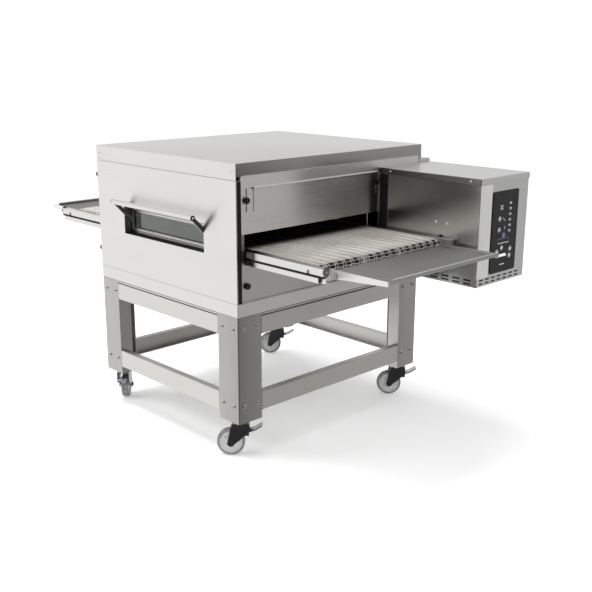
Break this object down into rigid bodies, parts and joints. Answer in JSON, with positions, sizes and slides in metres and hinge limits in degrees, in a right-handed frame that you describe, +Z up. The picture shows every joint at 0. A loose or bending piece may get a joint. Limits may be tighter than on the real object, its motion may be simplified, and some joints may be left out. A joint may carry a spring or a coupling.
{
  "type": "conveyor pizza oven",
  "caption": "Stainless conveyor pizza oven on a castor stand: wire belt through a tunnel, window hatch with bar handle, end shutters, landing shelves and a side control box.",
  "frame": {"origin": "middle of the bounding box, on the floor", "axes": "+X along the belt towards the exit end and the control box, -Y towards the front with the window hatch, +Z up"},
  "size_m": [2.11, 1.158, 1.131],
  "materials": {
    "bright_steel": "fine horizontal brushing",
    "satin_steel": "satin",
    "castor_steel": "bright zinc plate",
    "belt_wire": "drawn wire, heat tinted",
    "chamber_steel": "heat darkened",
    "cast_aluminium": "as cast",
    "knob_plastic": "moulded",
    "panel_membrane": "smooth membrane",
    "window_glass": "clear, slightly grey",
    "castor_tyre": "smooth tread"
  },
  "bodies": {
    "oven": {"base_pan": "bright_steel", "top_cover": "bright_steel", "front_panel": "bright_steel", "rear_casing": "bright_steel", "control_box": "bright_steel", "control_box_lid": "bright_steel", "conveyor_frame": "bright_steel", "end_frame_exit": "satin_steel", "end_frame_entry": "satin_steel", "shutter_lower_exit": "satin_steel", "shutter_lower_entry": "satin_steel", "leg_front_right": "satin_steel", "leg_rear_right": "satin_steel", "leg_rear_left": "satin_steel", "leg_front_left": "satin_steel", "rail_upper_front": "satin_steel", "rail_upper_rear": "satin_steel", "rail_upper_left": "satin_steel", "rail_upper_right": "satin_steel", "rail_lower_front": "satin_steel", "rail_lower_rear": "satin_steel", "rail_lower_left": "satin_steel", "rail_lower_right": "satin_steel", "wire_belt": "belt_wire", "chamber_liner": "chamber_steel", "air_duct": "chamber_steel", "heater": "chamber_steel", "gearmotor": "cast_aluminium", "fan_motor": "cast_aluminium", "control_panel": "panel_membrane"},
    "hatch": {"hatch_frame": "bright_steel", "hatch_glass": "window_glass", "hatch_handle": "bright_steel"},
    "shutter_exit": {"shutter_upper_exit": "satin_steel"},
    "shutter_entry": {"shutter_upper_entry": "satin_steel"},
    "knob_upper_exit_front": {"knob_upper_exit_front": "knob_plastic"},
    "knob_upper_exit_rear": {"knob_upper_exit_rear": "knob_plastic"},
    "knob_upper_entry_front": {"knob_upper_entry_front": "knob_plastic"},
    "knob_upper_entry_rear": {"knob_upper_entry_rear": "knob_plastic"},
    "knob_lower_exit_front": {"knob_lower_exit_front": "knob_plastic"},
    "knob_lower_exit_rear": {"knob_lower_exit_rear": "knob_plastic"},
    "knob_lower_entry_front": {"knob_lower_entry_front": "knob_plastic"},
    "knob_lower_entry_rear": {"knob_lower_entry_rear": "knob_plastic"},
    "drive_shaft": {"drive_shaft": "satin_steel"},
    "idler_shaft": {"idler_shaft": "satin_steel"},
    "fan_wheel": {"fan_wheel": "chamber_steel"},
    "exit_shelf": {"exit_shelf": "satin_steel"},
    "entry_shelf": {"entry_shelf": "satin_steel"},
    "castor_front_right": {"castor_fork_front_right": "castor_steel"},
    "wheel_front_right": {"castor_wheel_front_right": "castor_tyre"},
    "pedal_front_right": {"brake_pedal_front_right": "castor_steel"},
    "castor_rear_right": {"castor_fork_rear_right": "castor_steel"},
    "wheel_rear_right": {"castor_wheel_rear_right": "castor_tyre"},
    "pedal_rear_right": {"brake_pedal_rear_right": "castor_steel"},
    "castor_rear_left": {"castor_fork_rear_left": "castor_steel"},
    "wheel_rear_left": {"castor_wheel_rear_left": "castor_tyre"},
    "pedal_rear_left": {"brake_pedal_rear_left": "castor_steel"},
    "castor_front_left": {"castor_fork_front_left": "castor_steel"},
    "wheel_front_left": {"castor_wheel_front_left": "castor_tyre"},
    "pedal_front_left": {"brake_pedal_front_left": "castor_steel"}
  },
  "joints": [
    {"name": "hatch_hinge", "type": "hinge", "parent": "oven", "child": "hatch", "pos_m": [0, -0.484, 0.7895], "axis": [1, 0, 0], "range_deg": [0, 90]},
    {"name": "shutter_slide_exit", "type": "slide", "parent": "oven", "child": "shutter_exit", "axis": [0, 0, 1], "range_m": [-0.025, 0.03]},
    {"name": "shutter_slide_entry", "type": "slide", "parent": "oven", "child": "shutter_entry", "axis": [0, 0, 1], "range_m": [-0.025, 0.03]},
    {"name": "turn_knob_upper_exit_front", "type": "hinge", "parent": "oven", "child": "knob_upper_exit_front", "pos_m": [0.4456, -0.469, 0.9955], "axis": [1, 0, 0], "continuous": true},
    {"name": "turn_knob_upper_exit_rear", "type": "hinge", "parent": "oven", "child": "knob_upper_exit_rear", "pos_m": [0.4456, 0.231, 0.9955], "axis": [1, 0, 0], "continuous": true},
    {"name": "turn_knob_upper_entry_front", "type": "hinge", "parent": "oven", "child": "knob_upper_entry_front", "pos_m": [-0.4456, -0.469, 0.9955], "axis": [-1, 0, 0], "continuous": true},
    {"name": "turn_knob_upper_entry_rear", "type": "hinge", "parent": "oven", "child": "knob_upper_entry_rear", "pos_m": [-0.4456, 0.231, 0.9955], "axis": [-1, 0, 0], "continuous": true},
    {"name": "turn_knob_lower_exit_front", "type": "hinge", "parent": "oven", "child": "knob_lower_exit_front", "pos_m": [0.4456, -0.469, 0.6805], "axis": [1, 0, 0], "continuous": true},
    {"name": "turn_knob_lower_exit_rear", "type": "hinge", "parent": "oven", "child": "knob_lower_exit_rear", "pos_m": [0.4456, 0.231, 0.6805], "axis": [1, 0, 0], "continuous": true},
    {"name": "turn_knob_lower_entry_front", "type": "hinge", "parent": "oven", "child": "knob_lower_entry_front", "pos_m": [-0.4456, -0.469, 0.6805], "axis": [-1, 0, 0], "continuous": true},
    {"name": "turn_knob_lower_entry_rear", "type": "hinge", "parent": "oven", "child": "knob_lower_entry_rear", "pos_m": [-0.4456, 0.231, 0.6805], "axis": [-1, 0, 0], "continuous": true},
    {"name": "turn_drive_shaft", "type": "hinge", "parent": "oven", "child": "drive_shaft", "pos_m": [0.77, 0, 0.792], "axis": [0, 1, 0], "continuous": true},
    {"name": "turn_idler_shaft", "type": "hinge", "parent": "oven", "child": "idler_shaft", "pos_m": [-0.77, 0, 0.792], "axis": [0, 1, 0], "continuous": true},
    {"name": "turn_fan_wheel", "type": "hinge", "parent": "oven", "child": "fan_wheel", "pos_m": [0, 0.34, 0.832], "axis": [0, 1, 0], "continuous": true},
    {"name": "lift_off_exit_shelf", "type": "slide", "parent": "oven", "child": "exit_shelf", "axis": [0, 0, 1], "range_m": [0, 0.06]},
    {"name": "lift_off_entry_shelf", "type": "slide", "parent": "oven", "child": "entry_shelf", "axis": [0, 0, 1], "range_m": [0, 0.06]},
    {"name": "swivel_front_right", "type": "hinge", "parent": "oven", "child": "castor_front_right", "pos_m": [0.4, -0.468, 0.1337], "axis": [0, 0, 1], "continuous": true},
    {"name": "roll_front_right", "type": "hinge", "parent": "castor_front_right", "child": "wheel_front_right", "pos_m": [0.37281, -0.49596, 0.0545], "axis": [0.7169, -0.6972, 0], "continuous": true},
    {"name": "brake_front_right", "type": "hinge", "parent": "castor_front_right", "child": "pedal_front_right", "pos_m": [0.41813, -0.44936, 0.098], "axis": [-0.7169, 0.6972, 0], "range_deg": [0, 18]},
    {"name": "swivel_rear_right", "type": "hinge", "parent": "oven", "child": "castor_rear_right", "pos_m": [0.4, 0.468, 0.1337], "axis": [0, 0, 1], "continuous": true},
    {"name": "roll_rear_right", "type": "hinge", "parent": "castor_rear_right", "child": "wheel_rear_right", "pos_m": [0.37281, 0.44004, 0.0545], "axis": [0.7169, -0.6972, 0], "continuous": true},
    {"name": "brake_rear_right", "type": "hinge", "parent": "castor_rear_right", "child": "pedal_rear_right", "pos_m": [0.41813, 0.48664, 0.098], "axis": [-0.7169, 0.6972, 0], "range_deg": [0, 18]},
    {"name": "swivel_rear_left", "type": "hinge", "parent": "oven", "child": "castor_rear_left", "pos_m": [-0.4, 0.468, 0.1337], "axis": [0, 0, 1], "continuous": true},
    {"name": "roll_rear_left", "type": "hinge", "parent": "castor_rear_left", "child": "wheel_rear_left", "pos_m": [-0.42719, 0.44004, 0.0545], "axis": [0.7169, -0.6972, 0], "continuous": true},
    {"name": "brake_rear_left", "type": "hinge", "parent": "castor_rear_left", "child": "pedal_rear_left", "pos_m": [-0.38187, 0.48664, 0.098], "axis": [-0.7169, 0.6972, 0], "range_deg": [0, 18]},
    {"name": "swivel_front_left", "type": "hinge", "parent": "oven", "child": "castor_front_left", "pos_m": [-0.4, -0.468, 0.1337], "axis": [0, 0, 1], "continuous": true},
    {"name": "roll_front_left", "type": "hinge", "parent": "castor_front_left", "child": "wheel_front_left", "pos_m": [-0.4282, -0.44106, 0.0545], "axis": [-0.6909, -0.723, 0], "continuous": true},
    {"name": "brake_front_left", "type": "hinge", "parent": "castor_front_left", "child": "pedal_front_left", "pos_m": [-0.3812, -0.48596, 0.098], "axis": [0.6909, 0.723, 0], "range_deg": [0, 18]}
  ],
  "couplings": [
    {"joint": "turn_idler_shaft", "follows": "turn_drive_shaft", "ratio": 1}
  ]
}
